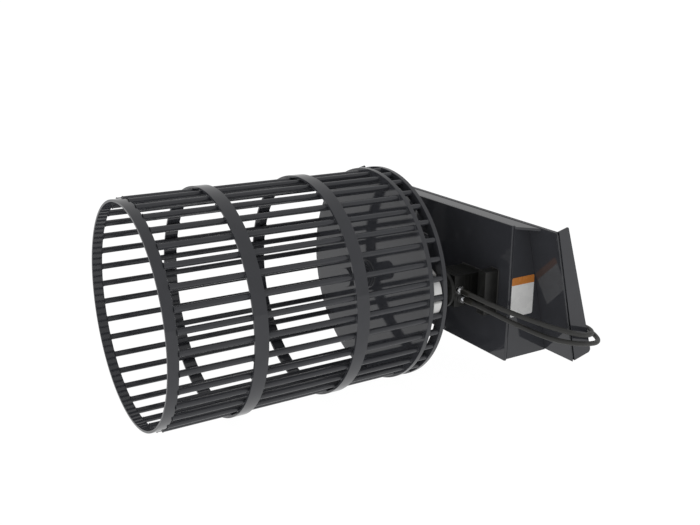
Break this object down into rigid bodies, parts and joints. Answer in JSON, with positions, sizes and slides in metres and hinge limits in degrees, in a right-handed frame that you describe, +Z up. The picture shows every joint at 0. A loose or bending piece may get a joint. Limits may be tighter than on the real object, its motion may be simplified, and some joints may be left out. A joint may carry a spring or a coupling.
{
  "type": "rock roller",
  "caption": "Powered cage drum on a loader frame, for picking up rocks: a hydraulic motor turns the drum through a pinion inside its pinned drive ring.",
  "frame": {"origin": "middle of the quick-attach plate's rear face", "axes": "+X along the drum axis towards the loader, +Z up, +Y to the right seen from the loader's seat"},
  "size_m": [1.4163, 1.2176, 0.731],
  "materials": {
    "charcoal_paint": "glossy powder coat",
    "black_paint": "satin",
    "white_nylon": "satin",
    "bright_steel": "ground",
    "zinc_plate": "bright zinc",
    "hose_rubber": "matt"
  },
  "bodies": {
    "frame": {"bottom_shelf": "charcoal_paint", "drive_motor": "black_paint", "front_plate": "charcoal_paint", "left_end_strip": "charcoal_paint", "left_rib": "charcoal_paint", "left_side_plate": "charcoal_paint", "lower_coupler": "zinc_plate", "lower_elbow": "zinc_plate", "lower_hose": "hose_rubber", "motor_bracket": "black_paint", "motor_lug": "black_paint", "motor_plate": "black_paint", "quick_attach_plate": "charcoal_paint", "right_end_strip": "charcoal_paint", "right_rib": "charcoal_paint", "right_side_plate": "charcoal_paint", "stub_axle": "charcoal_paint", "top_flange": "charcoal_paint", "top_hook": "charcoal_paint", "upper_coupler": "zinc_plate", "upper_elbow": "zinc_plate", "upper_hose": "hose_rubber"},
    "drum": {"mouth_hoop": "charcoal_paint", "front_band": "charcoal_paint", "rear_band": "charcoal_paint", "cage_bars": "charcoal_paint", "back_plate": "charcoal_paint", "drive_ring": "charcoal_paint", "drive_pins": "charcoal_paint", "drum_hub": "charcoal_paint", "spindle_cap": "charcoal_paint", "hub_bolts": "zinc_plate"},
    "pinion": {"drive_pinion": "white_nylon", "motor_shaft": "bright_steel"}
  },
  "joints": [
    {"name": "drum_spin", "type": "hinge", "parent": "frame", "child": "drum", "pos_m": [-0.3, 0, -0.02], "axis": [1, 0, 0], "continuous": true},
    {"name": "pinion_spin", "type": "hinge", "parent": "frame", "child": "pinion", "pos_m": [-0.3, -0.27523, -0.01231], "axis": [1, 0, 0], "continuous": true}
  ],
  "couplings": [
    {"joint": "pinion_spin", "follows": "drum_spin", "ratio": 4.5}
  ]
}
